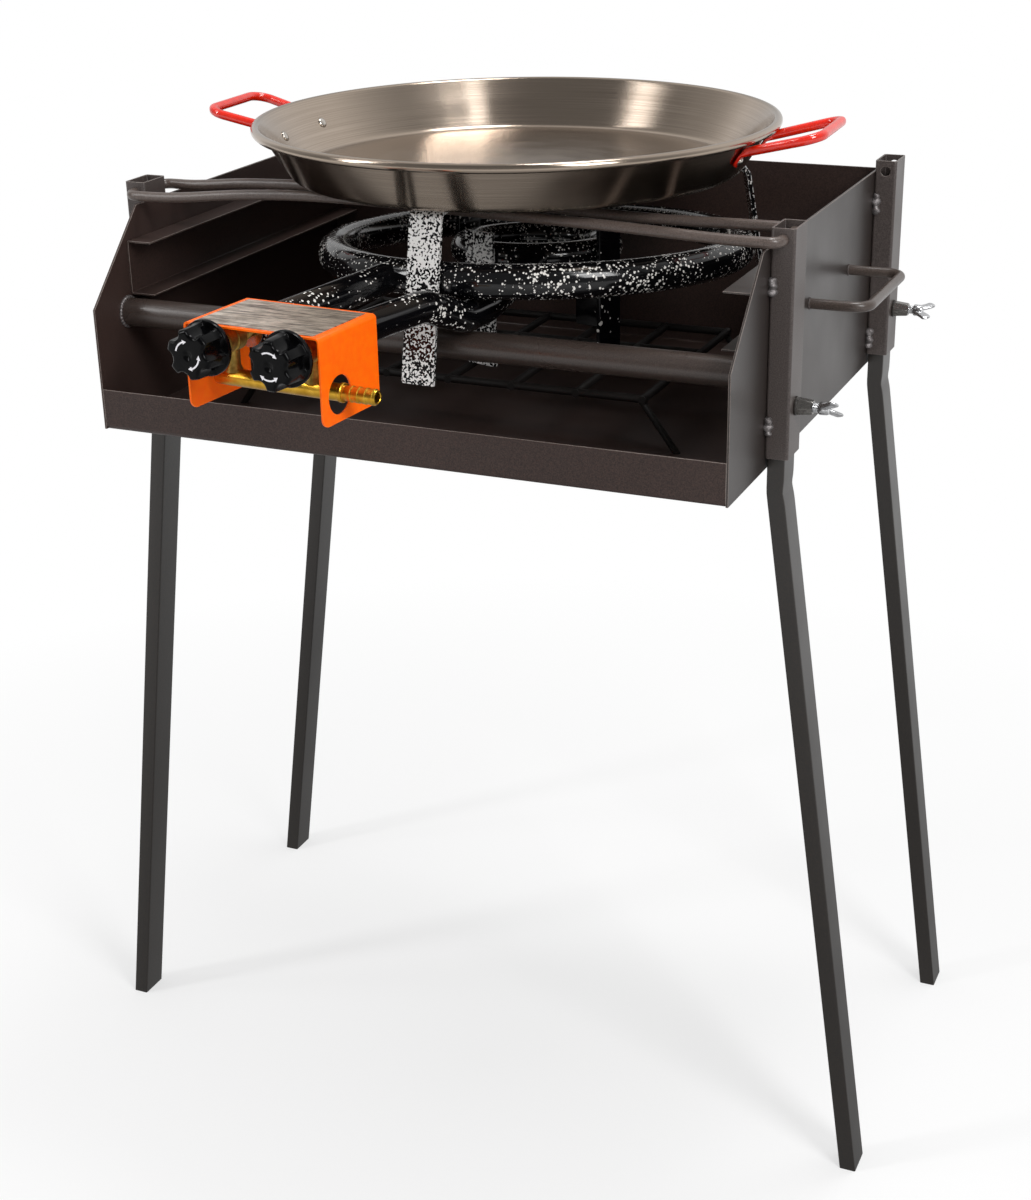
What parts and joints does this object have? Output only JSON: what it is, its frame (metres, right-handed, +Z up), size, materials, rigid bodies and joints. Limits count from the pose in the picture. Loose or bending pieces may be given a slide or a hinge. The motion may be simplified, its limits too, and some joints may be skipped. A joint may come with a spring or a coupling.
{
  "type": "barbecue grill",
  "caption": "Sheet-steel charcoal barbecue on plug-in legs, with a two-ring gas burner and a shallow steel pan with two handles standing in it.",
  "frame": {"origin": "on the ground, under the middle of the outer box", "axes": "+X to the right seen from the knobs' side, +Y to the back, +Z up"},
  "size_m": [0.7976, 0.673, 0.9396],
  "materials": {
    "firebox_paint": "satin, fine orange peel",
    "sleeve_paint": "satin",
    "leg_paint": "satin",
    "weld": "lumpy, painted over",
    "zinc": "bright zinc",
    "grate_iron": "matt",
    "enamel_black": "gloss enamel with white specks",
    "cover_orange": "gloss",
    "plate_foil": "brushed, blank",
    "brass": "turned, bright",
    "disc_steel": "plain",
    "knob_black": "gloss",
    "pan_steel": "brushed around, polished rim",
    "rivet_steel": "bright",
    "pan_red": "gloss enamel"
  },
  "bodies": {
    "firebox": {"firebox_tray": "firebox_paint", "side_panel_left": "firebox_paint", "side_panel_right": "firebox_paint", "front_cross_tube": "firebox_paint", "grill_rail_left": "firebox_paint", "grill_rail_right": "firebox_paint", "carry_handle_left": "firebox_paint", "carry_handle_right": "firebox_paint", "leg_sleeve_front_left": "sleeve_paint", "leg_sleeve_front_right": "sleeve_paint", "leg_sleeve_rear_left": "sleeve_paint", "leg_sleeve_rear_right": "sleeve_paint", "weld_beads": "weld", "clamp_nuts": "zinc", "charcoal_grate": "grate_iron", "grate_legs": "grate_iron"},
    "burner": {"burner_inner_ring": "enamel_black", "burner_outer_ring": "enamel_black", "burner_stand_back": "enamel_black", "burner_stand_front": "enamel_black", "burner_stand_left": "enamel_black", "burner_stand_right": "enamel_black", "feed_pipe_left": "enamel_black", "feed_pipe_right": "enamel_black", "pan_support_front": "enamel_black", "pan_support_left": "enamel_black", "pan_support_right": "enamel_black", "gas_cover": "cover_orange", "cover_saddle": "cover_orange", "cover_plate": "plate_foil", "gas_manifold": "brass", "hose_barb": "brass", "valve_body_left": "brass", "valve_body_right": "brass", "gas_jets": "brass", "air_discs": "disc_steel"},
    "pan": {"pan_body": "pan_steel", "pan_handle_left": "pan_red", "pan_handle_right": "pan_red", "pan_rivets": "rivet_steel"},
    "knob_left": {"control_knob_left": "knob_black", "valve_stem_left": "disc_steel"},
    "knob_right": {"control_knob_right": "knob_black", "valve_stem_right": "disc_steel"},
    "pan_bar_front": {"pan_bar_front": "leg_paint"},
    "pan_bar_rear": {"pan_bar_rear": "leg_paint"},
    "leg_front_left": {"leg_front_left": "leg_paint"},
    "wing_screw_front_left": {"wing_screw_front_left": "zinc"},
    "leg_front_right": {"leg_front_right": "leg_paint"},
    "wing_screw_front_right": {"wing_screw_front_right": "zinc"},
    "leg_rear_left": {"leg_rear_left": "leg_paint"},
    "wing_screw_rear_left": {"wing_screw_rear_left": "zinc"},
    "leg_rear_right": {"leg_rear_right": "leg_paint"},
    "wing_screw_rear_right": {"wing_screw_rear_right": "zinc"}
  },
  "joints": [
    {"name": "leg_front_left_slide", "type": "slide", "parent": "firebox", "child": "leg_front_left", "axis": [0, 0, -1], "range_m": [0, 0.108]},
    {"name": "wing_screw_front_left_turn", "type": "hinge", "parent": "firebox", "child": "wing_screw_front_left", "pos_m": [-0.315, -0.01145, 0.733], "axis": [1, 0, 0], "range_deg": [0, 720]},
    {"name": "leg_front_right_slide", "type": "slide", "parent": "firebox", "child": "leg_front_right", "axis": [0, 0, -1], "range_m": [0, 0.108]},
    {"name": "wing_screw_front_right_turn", "type": "hinge", "parent": "firebox", "child": "wing_screw_front_right", "pos_m": [0.315, -0.01145, 0.733], "axis": [-1, 0, 0], "range_deg": [0, 720]},
    {"name": "leg_rear_left_slide", "type": "slide", "parent": "firebox", "child": "leg_rear_left", "axis": [0, 0, -1], "range_m": [0, 0.108]},
    {"name": "wing_screw_rear_left_turn", "type": "hinge", "parent": "firebox", "child": "wing_screw_rear_left", "pos_m": [-0.315, 0.31905, 0.733], "axis": [1, 0, 0], "range_deg": [0, 720]},
    {"name": "leg_rear_right_slide", "type": "slide", "parent": "firebox", "child": "leg_rear_right", "axis": [0, 0, -1], "range_m": [0, 0.108]},
    {"name": "wing_screw_rear_right_turn", "type": "hinge", "parent": "firebox", "child": "wing_screw_rear_right", "pos_m": [0.315, 0.31905, 0.733], "axis": [-1, 0, 0], "range_deg": [0, 720]},
    {"name": "pan_bar_front_pull", "type": "slide", "parent": "firebox", "child": "pan_bar_front", "axis": [0, -1, 0], "range_m": [0, 0.014]},
    {"name": "pan_bar_rear_pull", "type": "slide", "parent": "firebox", "child": "pan_bar_rear", "axis": [0, 1, 0], "range_m": [0, 0.014]},
    {"name": "burner_lift", "type": "slide", "parent": "firebox", "child": "burner", "axis": [0, 0, 1], "range_m": [0, 0.015]},
    {"name": "knob_left_turn", "type": "hinge", "parent": "burner", "child": "knob_left", "pos_m": [-0.05911, -0.3147, 0.8245], "axis": [-0.0828, -0.9966, 0], "range_deg": [0, 210]},
    {"name": "knob_right_turn", "type": "hinge", "parent": "burner", "child": "knob_right", "pos_m": [0.01264, -0.32066, 0.8245], "axis": [-0.0828, -0.9966, 0], "range_deg": [0, 210]},
    {"name": "pan_lift", "type": "slide", "parent": "burner", "child": "pan", "axis": [0, 0, 1], "range_m": [0, 0.15]}
  ]
}
